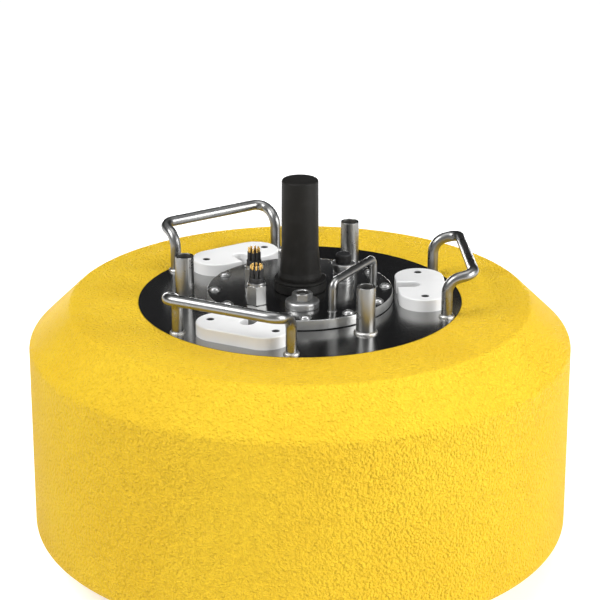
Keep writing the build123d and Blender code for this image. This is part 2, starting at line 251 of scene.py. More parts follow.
# Bottom plate and deck plate: stainless discs, turned on a lathe and left with fine circular marks.
# They clamp the foam between them; the deck lies flush in the hull's top ring.
plate_grey = (0.38, 0.38, 0.375)
plate_grey_dark = (0.33, 0.33, 0.33)
plate_brushing = 0.4
tool_mark_scale = 1500
turned_steel, tree, shader, place = new_finish("turned_steel", plate_grey, 0.2, 1.0)
shader.inputs["Anisotropic"].default_value = plate_brushing
axes = tree.nodes.new("ShaderNodeSeparateXYZ")
tree.links.new(place, axes.inputs[0])
across_x = reckoned(tree, "MULTIPLY", axes.outputs["X"], axes.outputs["X"])
across_y = reckoned(tree, "MULTIPLY", axes.outputs["Y"], axes.outputs["Y"])
from_axis = reckoned(tree, "SQRT", reckoned(tree, "ADD", across_x, across_y), 0)
ring_place = tree.nodes.new("ShaderNodeCombineXYZ")
tree.links.new(from_axis, ring_place.inputs["X"])
tool_marks = noise_of(tree, ring_place.outputs[0], tool_mark_scale, 3)
tree.links.new(ranged(tree, tool_marks, 0.25, 0.75, 0.18, 0.23), shader.inputs["Roughness"])
smears = ranged(tree, noise_of(tree, place, 22, 4), 0.4, 0.75, 0, 1)
tree.links.new(mixed(tree, smears, plate_grey, plate_grey_dark), shader.inputs["Base Color"])
round_axis = tree.nodes.new("ShaderNodeCombineXYZ")
tree.links.new(reckoned(tree, "MULTIPLY", axes.outputs["Y"], -1), round_axis.inputs["X"])
tree.links.new(axes.outputs["X"], round_axis.inputs["Y"])
tree.links.new(round_axis.outputs[0], shader.inputs["Tangent"])
for plate in ("bottom_plate", "deck_plate"):
    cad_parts[plate].material_slots[0].material = turned_steel

# Mooring lugs, well pipe and cable passes: laser-cut plate and drawn pipe, welded between the two plates.
# Satin stainless, a little uneven in gloss and tone from handling.
bar_grey = (0.28, 0.28, 0.275)
bar_grey_dark = (0.25, 0.25, 0.25)
drawn_steel, tree, shader, place = new_finish("drawn_steel", bar_grey, 0.2, 1.0)
tree.links.new(ranged(tree, noise_of(tree, place, 90, 2), 0.3, 0.7, 0.27, 0.31), shader.inputs["Roughness"])
handling = ranged(tree, noise_of(tree, place, 40, 3), 0.45, 0.7, 0, 1)
tree.links.new(mixed(tree, handling, bar_grey, bar_grey_dark), shader.inputs["Base Color"])
pipework = ["well_pipe"]
for number in (1, 2, 3):
    pipework += [f"mooring_lug_{number}", f"cable_pass_{number}"]
for pipe in pipework:
    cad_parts[pipe].material_slots[0].material = drawn_steel

# Well flange, battery pack and gasket: the bolting ring of the dry well, the dark case that stands in it,
# and the flat rubber ring that the lid squeezes on the flange.
case_black = (0.045, 0.045, 0.05)
case_black_dusty = (0.075, 0.075, 0.078)
battery_case, tree, shader, place = new_finish("battery_case", case_black, 0.55)
dust = ranged(tree, noise_of(tree, place, 60, 4), 0.45, 0.75, 0, 1)
tree.links.new(mixed(tree, dust, case_black, case_black_dusty), shader.inputs["Base Color"])
bumped(tree, shader, noise_of(tree, place, 1400, 2), 0.05 * mm, 0.4)
sheet_black = (0.022, 0.022, 0.022)
sheet_black_bloom = (0.04, 0.04, 0.04)
gasket_rubber, tree, shader, place = new_finish("gasket_rubber", sheet_black, 0.7)
bloom = ranged(tree, noise_of(tree, place, 90, 3), 0.4, 0.7, 0, 1)
tree.links.new(mixed(tree, bloom, sheet_black, sheet_black_bloom), shader.inputs["Base Color"])
bumped(tree, shader, noise_of(tree, place, 1800, 2), 0.04 * mm, 0.5)
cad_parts["well_flange"].material_slots[0].material = turned_steel
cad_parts["battery_pack"].material_slots[0].material = battery_case
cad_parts["lid_gasket"].material_slots[0].material = gasket_rubber

# Cable blocks: slabs of white engineering plastic with round ends and a slot towards the lid, milled and
# edge-rounded, each held down through two holes that are lined with black bushes.
block_white = (0.86, 0.86, 0.855)
block_white_soiled = (0.81, 0.808, 0.8)
white_plastic, tree, shader, place = new_finish("white_plastic", block_white, 0.42)
shader.inputs["Subsurface Weight"].default_value = 0.08
shader.inputs["Subsurface Radius"].default_value = (2 * mm, 2 * mm, 2 * mm)
soiling = ranged(tree, noise_of(tree, place, 35, 4), 0.5, 0.8, 0, 1)
tree.links.new(mixed(tree, soiling, block_white, block_white_soiled), shader.inputs["Base Color"])
milled = noise_of(tree, place, 900, 2)
tree.links.new(ranged(tree, milled, 0.3, 0.7, 0.36, 0.5), shader.inputs["Roughness"])
bumped(tree, shader, milled, 0.02 * mm, 0.5)
for number in (1, 2, 3):
    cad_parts[f"cable_block_{number}"].material_slots[0].material = white_plastic


def ring_tree():
    """Geometry Nodes tree that sets copies of a shape round a circle, each turned to face outwards."""
    ring = bpy.data.node_groups.new("ring_of_copies", "GeometryNodeTree")
    inputs = [
        ("Shape", "NodeSocketObject"),
        ("Count", "NodeSocketInt"),
        ("Ring Radius", "NodeSocketFloat"),
        ("First Angle", "NodeSocketFloat"),
        ("Centre", "NodeSocketVector"),
        ("Finish", "NodeSocketMaterial"),
    ]
    for name, kind in inputs:
        ring.interface.new_socket(name, in_out="INPUT", socket_type=kind)
    ring.interface.new_socket("Geometry", in_out="OUTPUT", socket_type="NodeSocketGeometry")
    given = ring.nodes.new("NodeGroupInput").outputs
    circle = ring.nodes.new("GeometryNodeMeshCircle")
    where = ring.nodes.new("GeometryNodeInputPosition")
    outwards = ring.nodes.new("FunctionNodeAlignRotationToVector")
    outwards.axis = "X"
    shape = ring.nodes.new("GeometryNodeObjectInfo")
    copies = ring.nodes.new("GeometryNodeInstanceOnPoints")
    turn = ring.nodes.new("ShaderNodeCombineXYZ")
    move = ring.nodes.new("GeometryNodeTransform")
    real = ring.nodes.new("GeometryNodeRealizeInstances")
    paint = ring.nodes.new("GeometryNodeSetMaterial")
    result = ring.nodes.new("NodeGroupOutput")
    ring.links.new(given["Count"], circle.inputs["Vertices"])
    ring.links.new(given["Ring Radius"], circle.inputs["Radius"])
    ring.links.new(given["Shape"], shape.inputs["Object"])
    ring.links.new(where.outputs["Position"], outwards.inputs["Vector"])
    ring.links.new(circle.outputs["Mesh"], copies.inputs["Points"])
    ring.links.new(shape.outputs["Geometry"], copies.inputs["Instance"])
    ring.links.new(outwards.outputs["Rotation"], copies.inputs["Rotation"])
    ring.links.new(given["First Angle"], turn.inputs["Z"])
    ring.links.new(copies.outputs["Instances"], move.inputs["Geometry"])
    ring.links.new(turn.outputs["Vector"], move.inputs["Rotation"])
    ring.links.new(given["Centre"], move.inputs["Translation"])
    ring.links.new(move.outputs["Geometry"], real.inputs["Geometry"])
    ring.links.new(real.outputs["Geometry"], paint.inputs["Geometry"])
    ring.links.new(given["Finish"], paint.inputs["Material"])
    ring.links.new(paint.outputs["Geometry"], result.inputs["Geometry"])
    return ring


def grown_mesh(name, tree, values, start=None):
    """Plain mesh that a Geometry Nodes tree makes from its inputs, on a starting mesh if it needs one."""
    carrier = bpy.data.objects.new(name, start or bpy.data.meshes.new(name))
    scene.collection.objects.link(carrier)
    modifier = carrier.modifiers.new("tree", "NODES")
    modifier.node_group = tree
    for item in tree.interface.items_tree:
        if item.in_out == "INPUT" and item.name in values:
            modifier[item.identifier] = values[item.name]
    graph = bpy.context.evaluated_depsgraph_get()
    mesh = bpy.data.meshes.new_from_object(carrier.evaluated_get(graph))
    carrier.modifiers.clear()
    bpy.data.objects.remove(carrier)
    return mesh


def ring_of(name, mesh, finish, count, radius, centre, first_angle=0.0):
    """Plain mesh of copies of a mesh set round a circle."""
    shape = bpy.data.objects.new(f"{name}_shape", mesh)
    scene.collection.objects.link(shape)
    values = {
        "Shape": shape,
        "Count": count,
        "Ring Radius": radius,
        "First Angle": first_angle,
        "Centre": centre,
        "Finish": finish,
    }
    ring = grown_mesh(name, ring_of_copies, values)
    bpy.data.objects.remove(shape)
    return ring


def joined(name, meshes):
    """One mesh from several."""
    shape = bmesh.new()
    for mesh in meshes:
        shape.from_mesh(mesh)
    together = bpy.data.meshes.new(name)
    shape.to_mesh(together)
    shape.free()
    return together


ring_of_copies = ring_tree()
bolt_grey = (0.55, 0.55, 0.545)
bolt_grey_dark = (0.42, 0.42, 0.42)
bolt_steel, tree, shader, place = new_finish("bolt_steel", bolt_grey, 0.22, 1.0)
scuffs = ranged(tree, noise_of(tree, place, 260, 3), 0.45, 0.75, 0, 1)
tree.links.new(mixed(tree, scuffs, bolt_grey, bolt_grey_dark), shader.inputs["Base Color"])
tree.links.new(ranged(tree, noise_of(tree, place, 700, 2), 0.3, 0.7, 0.3, 0.4), shader.inputs["Roughness"])
block_low, block_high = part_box("cable_block_1")
block_hole_inset = 13.9 * mm
block_hole_side = block_high.y - block_hole_inset
block_middle = (block_low.x + block_high.x) / 2
bush_setback = 0.6 * mm
bush_height = block_high.z - bush_setback - deck_top
bush_radius = 4.4 * mm
bush_bore = 3.5 * mm
bush_screw_hole = 2.4 * mm
bush_floor = 6 * mm
bush_edge = 0.3 * mm
bush_lift = 0.1 * mm
bush_corners = [
    (bush_screw_hole, 0, 0),
    (bush_radius, 0, 0),
    (bush_radius, bush_height, bush_edge),
    (bush_bore, bush_height, bush_edge),
    (bush_bore, bush_floor, 0),
    (bush_screw_hole, bush_floor, 0),
]
block_bush = turned_mesh("block_bush", rounded(bush_corners, 3), turns=32)
bush_ring = math.hypot(block_middle, block_hole_side)
bush_angle = math.atan2(block_hole_side, block_middle)
bush_foot = (0, 0, deck_top + bush_lift)
bush_rings = []
for side in (1, -1):
    bush_turn = side * bush_angle
    bush_rings.append(ring_of("bush_ring", block_bush, gasket_rubber, 3, bush_ring, bush_foot, bush_turn))
block_bushes = placed("block_bushes", joined("block_bushes", bush_rings), gasket_rubber, 30)
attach(block_bushes, "hull")

# Lifting handles: 12 mm stainless bar, bent up, outwards and across, its feet welded to the deck all round.
# The weld beads are small overlapping ripples, a little straw-coloured from the heat.
handle_low, handle_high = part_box("lift_handle_1")
bar_radius = 6 * mm
foot_weld = 2 * mm
foot_spoke = handle_low.x + foot_weld + bar_radius
foot_side = handle_high.y - foot_weld - bar_radius
grip_spoke = handle_high.x - bar_radius
grip_height = handle_high.z - bar_radius
leg_drop = 7.6 * mm
leg_height = grip_height - leg_drop
leg_bend = 18 * mm
corner_bend = 13 * mm
bend_steps = 10
bar_sides = 28
bead_stretch = (1, 1.1, 1.2)
bead_tilt = math.radians(-40)
bead_reach = 0.3
bead_pitch = 0.62
bead_rise = 0.45
spoke_step = math.radians(120)
handle_path = [
    (foot_spoke, -foot_side, deck_top, 0),
    (foot_spoke, -foot_side, leg_height, leg_bend),
    (grip_spoke, -foot_side, grip_height, corner_bend),
    (grip_spoke, foot_side, grip_height, corner_bend),
    (foot_spoke, foot_side, leg_height, leg_bend),
    (foot_spoke, foot_side, deck_top, 0),
]


def bar_tree():
    """Geometry Nodes tree that bends a round bar along a path whose points hold their bend's radius."""
    bar = bpy.data.node_groups.new("bent_bar", "GeometryNodeTree")
    inputs = [
        ("Geometry", "NodeSocketGeometry"),
        ("Bar Radius", "NodeSocketFloat"),
        ("Bend Steps", "NodeSocketInt"),
        ("Sides", "NodeSocketInt"),
        ("Finish", "NodeSocketMaterial"),
    ]
    for name, kind in inputs:
        bar.interface.new_socket(name, in_out="INPUT", socket_type=kind)
    bar.interface.new_socket("Geometry", in_out="OUTPUT", socket_type="NodeSocketGeometry")
    given = bar.nodes.new("NodeGroupInput").outputs
    path = bar.nodes.new("GeometryNodeMeshToCurve")
    bend = bar.nodes.new("GeometryNodeInputNamedAttribute")
    bend.data_type = "FLOAT"
    bend.inputs["Name"].default_value = "bend"
    bent = bar.nodes.new("GeometryNodeFilletCurve")
    bent.mode = "POLY"
    profile = bar.nodes.new("GeometryNodeCurvePrimitiveCircle")
    swept = bar.nodes.new("GeometryNodeCurveToMesh")
    swept.inputs["Fill Caps"].default_value = True
    real = bar.nodes.new("GeometryNodeRealizeInstances")
    paint = bar.nodes.new("GeometryNodeSetMaterial")
    result = bar.nodes.new("NodeGroupOutput")
    bar.links.new(given["Geometry"], path.inputs["Mesh"])
    bar.links.new(path.outputs["Curve"], bent.inputs["Curve"])
    bar.links.new(bend.outputs["Attribute"], bent.inputs["Radius"])
    bar.links.new(given["Bend Steps"], bent.inputs["Count"])
    bar.links.new(given["Sides"], profile.inputs["Resolution"])
    bar.links.new(given["Bar Radius"], profile.inputs["Radius"])
    bar.links.new(bent.outputs["Curve"], swept.inputs["Curve"])
    bar.links.new(profile.outputs["Curve"], swept.inputs["Profile Curve"])
    bar.links.new(swept.outputs["Mesh"], real.inputs["Geometry"])
    bar.links.new(real.outputs["Geometry"], paint.inputs["Geometry"])
    bar.links.new(given["Finish"], paint.inputs["Material"])
    bar.links.new(paint.outputs["Geometry"], result.inputs["Geometry"])
    return bar


def bar_mesh(name, path, angle, radius, finish):
    """Bar bent along a path of (x, y, z, bend radius) points, turned about the buoy's axis."""
    turn = Matrix.Rotation(angle, 3, "Z")
    start = bpy.data.meshes.new(f"{name}_path")
    points = [turn @ Vector(point[:3]) for point in path]
    start.from_pydata(points, [(index, index + 1) for index in range(len(path) - 1)], [])
    bends = start.attributes.new("bend", "FLOAT", "POINT")
    for index, point in enumerate(path):
        bends.data[index].value = point[3]
    values = {"Bar Radius": radius, "Bend Steps": bend_steps, "Sides": bar_sides, "Finish": finish}
    mesh = grown_mesh(name, bent_bar, values, start)
    shape = bmesh.new()
    shape.from_mesh(mesh)
    bmesh.ops.recalc_face_normals(shape, faces=shape.faces)
    shape.to_mesh(mesh)
    shape.free()
    return mesh


def weld_mesh(name, centre, pipe_radius, size):
    """Ring of overlapping weld ripples round the foot of a bar or pipe."""
    bead = bmesh.new()
    bmesh.ops.create_uvsphere(bead, u_segments=10, v_segments=8, radius=1)
    bmesh.ops.scale(bead, vec=[size * stretch for stretch in bead_stretch], verts=bead.verts)
    bmesh.ops.rotate(bead, matrix=Matrix.Rotation(bead_tilt, 3, "Y"), verts=bead.verts)
    bead_mesh = bpy.data.meshes.new(f"{name}_bead")
    bead.to_mesh(bead_mesh)
    bead.free()
    ring_radius = pipe_radius + size * bead_reach
    count = round(2 * math.pi * ring_radius / (size * bead_pitch))
    ring_centre = centre + Vector((0, 0, size * bead_rise))
    return ring_of(name, bead_mesh, weld_steel, count, ring_radius, ring_centre)


bent_bar = bar_tree()
weld_bright = (0.55, 0.545, 0.53)
weld_straw = (0.47, 0.43, 0.35)
weld_steel, tree, shader, place = new_finish("weld_steel", weld_bright, 0.25, 1.0)
heat = ranged(tree, noise_of(tree, place, 120, 3), 0.48, 0.75, 0, 1)
tree.links.new(mixed(tree, heat, weld_bright, weld_straw), shader.inputs["Base Color"])
tree.links.new(ranged(tree, noise_of(tree, place, 1500, 2), 0.3, 0.7, 0.18, 0.4), shader.inputs["Roughness"])
for number in (1, 2, 3):
    spoke = spoke_step * (number - 1)
    bar = bar_mesh(f"lift_bar_{number}", handle_path, spoke, bar_radius, drawn_steel)
    lift_bar = placed(f"lift_bar_{number}", bar, drawn_steel, 60)
    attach(lift_bar, "hull")
    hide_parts(f"lift_handle_{number}")
    to_spoke = Matrix.Rotation(spoke, 3, "Z")
    feet = [to_spoke @ Vector((foot_spoke, side * foot_side, deck_top)) for side in (-1, 1)]
    beads = [weld_mesh(f"lift_weld_{number}", foot, bar_radius, foot_weld) for foot in feet]
    lift_weld = placed(f"lift_weld_{number}", joined(f"lift_weld_{number}", beads), weld_steel, 80)
    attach(lift_weld, "hull")

# Mast sockets: short lengths of stainless pipe, faced off square with the edges broken, welded to the deck.
# They take the legs of a mast or light tower, so they stay open at the top; their inner walls are near black,
# painted shade with a little brownish scale.
socket_wall = 2 * mm
socket_weld = 2 * mm
socket_edge = 0.5 * mm
socket_lip = 0.6 * mm
upright_limit = 0.1
shade_and_scale_grey = (0.06, 0.058, 0.055)
shade_and_scale_brown = (0.085, 0.078, 0.068)
# Near-black finish for hollows: painted shade, with brownish scale mixed in at random.
scale_and_hollow_shade, tree, shader, place = new_finish("scale_and_hollow_shade", shade_and_scale_grey, 0.6, 0.4)
rusted = ranged(tree, noise_of(tree, place, 150, 3), 0.45, 0.7, 0, 1)
tree.links.new(mixed(tree, rusted, shade_and_scale_grey, shade_and_scale_brown), shader.inputs["Base Color"])
for number in (1, 2, 3):
    low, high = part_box(f"mast_socket_{number}")
    middle = (low + high) / 2
    outer = (high.x - low.x) / 2 - socket_weld
    pipe = rounded(
        [
            (outer - socket_wall, deck_top, 0),
            (outer, deck_top, 0),
            (outer, high.z, socket_edge),
            (outer - socket_wall, high.z, socket_lip),
        ],
        steps=4,
    )
    socket_name = f"socket_pipe_{number}"
    socket_pipe = placed(socket_name, turned_mesh(socket_name, pipe, 96, middle), drawn_steel)
    socket_pipe.data.materials.append(scale_and_hollow_shade)
    # Faces towards the pipe's axis take the near-black finish: painted shade inside the socket.
    for face in socket_pipe.data.polygons:
        faces_axis = face.normal.xy.dot(face.center.xy - middle.xy) < 0
        face.material_index = int(faces_axis and abs(face.normal.z) < upright_limit)
    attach(socket_pipe, "hull")
    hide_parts(f"mast_socket_{number}")
    foot = Vector((middle.x, middle.y, deck_top))
    bead = weld_mesh(f"socket_weld_{number}", foot, outer, socket_weld)
    socket_weld_ring = placed(f"socket_weld_{number}", bead, weld_steel, 80)
    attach(socket_weld_ring, "hull")

# Well lid: a thick stainless disc with a bright turned face, a duller edge given a lighter steel as painted
# light, and its top corner just broken.
# Twelve flanged button-head screws pull it down on the gasket.
lid_low, lid_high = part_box("well_lid")
lid_top = lid_high.z
lid_radius = min(lid_high.x, lid_high.y)
lid_lower_round = 0.5 * mm
lid_edge_round = 1.2 * mm
side_limit = 0.5
lid_corners = [
    (0, lid_low.z, 0),
    (lid_radius, lid_low.z, lid_lower_round),
    (lid_radius, lid_top, lid_edge_round),
    (0, lid_top, 0),
]
# The edge's steel is set lighter than the turned face: painted light on the side band, with random tone from
# handling.
lit_edge_grey = (0.52, 0.52, 0.51)
lit_edge_grey_dark = (0.46, 0.46, 0.455)
lit_faced_steel, tree, shader, place = new_finish("lit_faced_steel", lit_edge_grey, 0.42, 1.0)
fingered = ranged(tree, noise_of(tree, place, 60, 3), 0.45, 0.7, 0, 1)
tree.links.new(mixed(tree, fingered, lit_edge_grey, lit_edge_grey_dark), shader.inputs["Base Color"])
lid_disc = placed("lid_disc", turned_mesh("lid_disc", rounded(lid_corners, 5), 256), turned_steel, 50)
lid_disc.data.materials.append(lit_faced_steel)
# Side faces take the lighter edge finish: painted light.
for face in lid_disc.data.polygons:
    face.material_index = int(abs(face.normal.z) < side_limit)
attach(lid_disc, "lid")
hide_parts("well_lid")

screw_count = 12
screw_inset = 8 * mm
screw_circle = lid_radius - screw_inset
screw_radius = 6.8 * mm
screw_flange = 0.9 * mm
screw_edge = 0.2 * mm
screw_socket = 2.1 * mm
socket_depth = 2 * mm
dome_radius = 5.3 * mm
dome_rise = 2.9 * mm
dome_angles = (56, 42, 28, 14, 0)
shank_radius = 2.4 * mm
shank_length = 9.5 * mm
flange_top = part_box("well_flange")[1].z
shank_foot = flange_top - lid_top - shank_length
screw_dome = []
for angle in dome_angles:
    turn = math.radians(angle)
    screw_dome.append((dome_radius * math.cos(turn), screw_flange + dome_rise * math.sin(turn)))
screw_top = screw_dome[0][1]
socket_corner = screw_socket / math.cos(math.pi / 6)
screw_outline = [
    (0, screw_top - socket_depth),
    (screw_socket, screw_top - socket_depth, socket_corner),
    (screw_socket, screw_top, socket_corner),
    *screw_dome,
    (screw_radius - screw_edge, screw_flange),
    (screw_radius, screw_flange - screw_edge),
    (screw_radius, screw_edge),
    (screw_radius - screw_edge, 0),
    (shank_radius, 0),
    (shank_radius, shank_foot),
    (0, shank_foot),
]
lid_screw = turned_mesh("lid_screw", screw_outline, turns=36)
lid_screw_ring = ring_of("lid_screws", lid_screw, bolt_steel, screw_count, screw_circle, (0, 0, lid_top))
lid_screws = placed("lid_screws", lid_screw_ring, bolt_steel, 30)
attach(lid_screws, "lid")

# Lid handle: thinner stainless bar bent to a square loop, both ends welded to the lid.
# It is what the lid is lifted by once the screws are undone.
lid_bar_radius = 4.25 * mm
lid_handle_angle = math.radians(-33.3)
lid_handle_span = 92 * mm
lid_handle_bend = 8 * mm
lid_weld_size = 0.8 * mm
loop_low, loop_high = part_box("lid_handle")
loop_spoke = ((loop_low + loop_high) / 2).xy.length
loop_top = loop_high.z - lid_bar_radius
loop_side = lid_handle_span / 2
lid_handle_path = [
    (loop_spoke, -loop_side, lid_top, 0),
    (loop_spoke, -loop_side, loop_top, lid_handle_bend),
    (loop_spoke, loop_side, loop_top, lid_handle_bend),
    (loop_spoke, loop_side, lid_top, 0),
]
loop = bar_mesh("lid_bar", lid_handle_path, lid_handle_angle, lid_bar_radius, drawn_steel)
lid_bar = placed("lid_bar", loop, drawn_steel, 60)
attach(lid_bar, "lid")
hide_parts("lid_handle")
lid_turn = Matrix.Rotation(lid_handle_angle, 3, "Z")
lid_feet = [lid_turn @ Vector((loop_spoke, side * loop_side, lid_top)) for side in (-1, 1)]
lid_beads = [weld_mesh("lid_weld", foot, lid_bar_radius, lid_weld_size) for foot in lid_feet]
lid_weld = placed("lid_weld", joined("lid_weld", lid_beads), drawn_steel, 80)
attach(lid_weld, "lid")

# Antenna: a closed housing of satin black plastic on a grooved collar that screws down on the lid.
# The housing flares at its foot and its top is only slightly rounded.
base_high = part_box("antenna_base")[1]
aerial_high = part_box("antenna")[1]
collar_radius = min(base_high.x, base_high.y)
collar_top = base_high.z
housing_black = (0.0105, 0.01, 0.009)
housing_black_scuffed = (0.0155, 0.015, 0.014)
antenna_black, tree, shader, place = new_finish("antenna_black", housing_black, 0.42)
shader.inputs["Specular IOR Level"].default_value = 0.18
rubbed = ranged(tree, noise_of(tree, place, 55, 4), 0.45, 0.75, 0, 1)
tree.links.new(mixed(tree, rubbed, housing_black, housing_black_scuffed), shader.inputs["Base Color"])
spark = noise_of(tree, place, 1600, 2)
tree.links.new(ranged(tree, spark, 0.3, 0.7, 0.44, 0.56), shader.inputs["Roughness"])
bumped(tree, shader, spark, 0.02 * mm, 0.5)
collar_foot_inset = 1 * mm
collar_foot_rise = 1.5 * mm
collar_lower_round = 0.3 * mm
collar_foot_round = 0.5 * mm
collar_edge = 0.8 * mm
groove_height = 10 * mm
groove_size = 1 * mm
groove_edge = 0.3 * mm
groove_root = 0.2 * mm
groove_low = lid_top + groove_height
groove_high = groove_low + groove_size
collar_corners = [
    (0, lid_top, 0),
    (collar_radius - collar_foot_inset, lid_top, collar_lower_round),
    (collar_radius, lid_top + collar_foot_rise, collar_foot_round),
    (collar_radius, groove_low, groove_edge),
    (collar_radius - groove_size, groove_low, groove_root),
    (collar_radius - groove_size, groove_high, groove_root),
    (collar_radius, groove_high, groove_edge),
    (collar_radius, collar_top, collar_edge),
    (0, collar_top, 0),
]
collar_mesh = turned_mesh("antenna_collar", rounded(collar_corners, 4), 128)
antenna_collar = placed("antenna_collar", collar_mesh, antenna_black)
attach(antenna_collar, "lid")
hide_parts("antenna_base")
flare_radius = 24 * mm
flare_height = 4 * mm
flare_lower_round = 0.4 * mm
flare_round = 2 * mm
taper_foot_radius = 22.3 * mm
taper_foot_height = 9 * mm
taper_foot_round = 4 * mm
tube_radius = 20.5 * mm
taper_top = 37 * mm
taper_round = 20 * mm
tube_top_radius = 20.1 * mm
tube_top_round = 2.2 * mm
housing_corners = [
    (0, collar_top, 0),
    (flare_radius, collar_top, flare_lower_round),
    (flare_radius, collar_top + flare_height, flare_round),
    (taper_foot_radius, collar_top + taper_foot_height, taper_foot_round),
    (tube_radius, collar_top + taper_top, taper_round),
    (tube_top_radius, aerial_high.z, tube_top_round),
    (0, aerial_high.z, 0),
]
housing_mesh = turned_mesh("antenna_housing", rounded(housing_corners), 128)
antenna_housing = placed("antenna_housing", housing_mesh, antenna_black)
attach(antenna_housing, "lid")
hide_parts("antenna")

# Relief valve: a turned stainless body with a round shoulder, closed by a hexagon guard with a bore.
# The spring-loaded poppet sits just below the guard's rim, in a bore whose walls and floor, with the poppet's
# side, carry painted shade in near black.
valve_low, valve_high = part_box("valve_body")
guard_low, guard_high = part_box("valve_nut")
valve_middle = (valve_low + valve_high) / 2
valve_radius = (valve_high.x - valve_low.x) / 2
valve_stem = 4.5 * mm
valve_foot_inset = 0.6 * mm
valve_foot_rise = 1 * mm
valve_lower_round = 0.2 * mm
valve_foot_round = 0.5 * mm
valve_shoulder_round = 2.5 * mm
poppet_round = 1 * mm
valve_corners = [
    (0, lid_top, 0),
    (valve_radius - valve_foot_inset, lid_top, valve_lower_round),
    (valve_radius, lid_top + valve_foot_rise, valve_foot_round),
    (valve_radius, guard_low.z, valve_shoulder_round),
    (valve_stem, guard_low.z, 0),
    (valve_stem, valve_high.z, poppet_round),
    (0, valve_high.z, 0),
]
valve_mesh = turned_mesh("valve_base", rounded(valve_corners, 6), 96, valve_middle)
valve_base = placed("valve_base", valve_mesh, bolt_steel)
valve_base.data.materials.append(scale_and_hollow_shade)
# The poppet's side takes the near-black finish: painted shade in the bore.
for face in valve_base.data.polygons:
    on_stem = (face.center.xy - valve_middle.xy).length < valve_stem and abs(face.normal.z) < side_limit
    face.material_index = int(on_stem and face.center.z > guard_low.z)
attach(valve_base, "lid")
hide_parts("valve_body")
guard_flat = 9.8 * mm
guard_bore = 6.6 * mm
guard_seat = 4.9 * mm
guard_bore_floor = guard_high.z - 5 * mm
guard_chamfer = 0.6 * mm
guard_lower_bevel = 0.3 * mm
guard_upper_bevel = 0.2 * mm
guard_corner_cut = 0.7 * mm
guard_corner = guard_flat / math.cos(math.pi / 6)
guard_outline = [
    (guard_seat, guard_low.z),
    (guard_flat - guard_lower_bevel, guard_low.z),
    (guard_flat, guard_low.z + guard_chamfer, guard_corner),
    (guard_flat, guard_high.z - 2 * guard_chamfer, guard_corner),
    (guard_flat, guard_high.z - guard_chamfer, guard_corner - guard_corner_cut),
    (guard_flat - guard_upper_bevel, guard_high.z),
    (guard_bore + guard_chamfer, guard_high.z),
    (guard_bore, guard_high.z - guard_chamfer),
    (guard_bore, guard_bore_floor),
    (guard_seat, guard_bore_floor),
]
valve_spoke = -91
guard_twist = 28
flat_to_corner = 30
guard_turn = math.radians(valve_spoke + guard_twist + flat_to_corner)
guard_mesh = turned_mesh("valve_guard", guard_outline, 72, valve_middle, guard_turn)
valve_guard = placed("valve_guard", guard_mesh, bolt_steel, 25)
valve_guard.data.materials.append(scale_and_hollow_shade)
# The bore's walls and floor take the near-black finish: painted shade.
for face in valve_guard.data.polygons:
    face.material_index = int((face.center.xy - valve_middle.xy).length < guard_bore)
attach(valve_guard, "lid")
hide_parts("valve_nut")

# Pin connectors: hexagon stainless shells screwed into the lid, each with a moulded rubber insert.
# Eight pins stand in the rubber: a black sleeve on each and a bare gold-plated contact at its tip.
fitting_grey = (0.32, 0.32, 0.315)
fitting_grey_dark = (0.29, 0.29, 0.29)
machined_steel, tree, shader, place = new_finish("machined_steel", fitting_grey, 0.3, 1.0)
oiled = ranged(tree, noise_of(tree, place, 60, 2), 0.4, 0.7, 0, 1)
tree.links.new(mixed(tree, oiled, fitting_grey, fitting_grey_dark), shader.inputs["Base Color"])
tree.links.new(ranged(tree, noise_of(tree, place, 90, 2), 0.3, 0.7, 0.28, 0.32), shader.inputs["Roughness"])
rubber_black = (0.014, 0.014, 0.015)
rubber_black_dull = (0.026, 0.026, 0.027)
black_rubber, tree, shader, place = new_finish("black_rubber", rubber_black, 0.5)
dulled = ranged(tree, noise_of(tree, place, 300, 3), 0.45, 0.7, 0, 1)
tree.links.new(mixed(tree, dulled, rubber_black, rubber_black_dull), shader.inputs["Base Color"])
bumped(tree, shader, noise_of(tree, place, 2500, 2), 0.02 * mm, 0.5)
gold_bright = (0.83, 0.57, 0.2)
gold_rubbed = (0.66, 0.42, 0.13)
gold_plate, tree, shader, place = new_finish("gold_plate", gold_bright, 0.25, 1.0)
rubbed = ranged(tree, noise_of(tree, place, 500, 3), 0.45, 0.7, 0, 1)
tree.links.new(mixed(tree, rubbed, gold_bright, gold_rubbed), shader.inputs["Base Color"])
tree.links.new(ranged(tree, noise_of(tree, place, 1500, 2), 0.3, 0.7, 0.18, 0.34), shader.inputs["Roughness"])
pin_count = 8
pin_circle = 5.7 * mm
sleeve_radius = 1.8 * mm
sleeve_height = 9.5 * mm
contact_radius = 1.15 * mm
contact_height = 5 * mm
shell_flat = 10.2 * mm
shell_corner = shell_flat / math.cos(math.pi / 6)
shell_lower_bevel = 0.4 * mm
shell_foot_rise = 0.8 * mm
shell_corner_rise = 1 * mm
shell_corner_cut = 0.6 * mm
shell_upper_bevel = 0.2 * mm
spigot_radius = 9.7 * mm
spigot_height = 3 * mm
spigot_round = 1.1 * mm
spigot_round_middle = 0.32 * mm
insert_radius = 8.3 * mm
insert_lower_round = 0.2 * mm
insert_edge = 0.8 * mm
sleeve_round = 0.5 * mm
contact_round = 0.9 * mm
pin_spokes = {1: -138, 2: 166.6}
shell_twists = {1: 45, 2: 40}
sleeve_corners = [
    (0, 0, 0),
    (sleeve_radius, 0, 0),
    (sleeve_radius, sleeve_height, sleeve_round),
    (0, sleeve_height, 0),
]
contact_corners = [
    (0, 0, 0),
    (contact_radius, 0, 0),
    (contact_radius, contact_height, contact_round),
    (0, contact_height, 0),
]
sleeve = turned_mesh("pin_sleeve", rounded(sleeve_corners, 3), 16)
contact = turned_mesh("pin_contact", rounded(contact_corners, 4), 16)
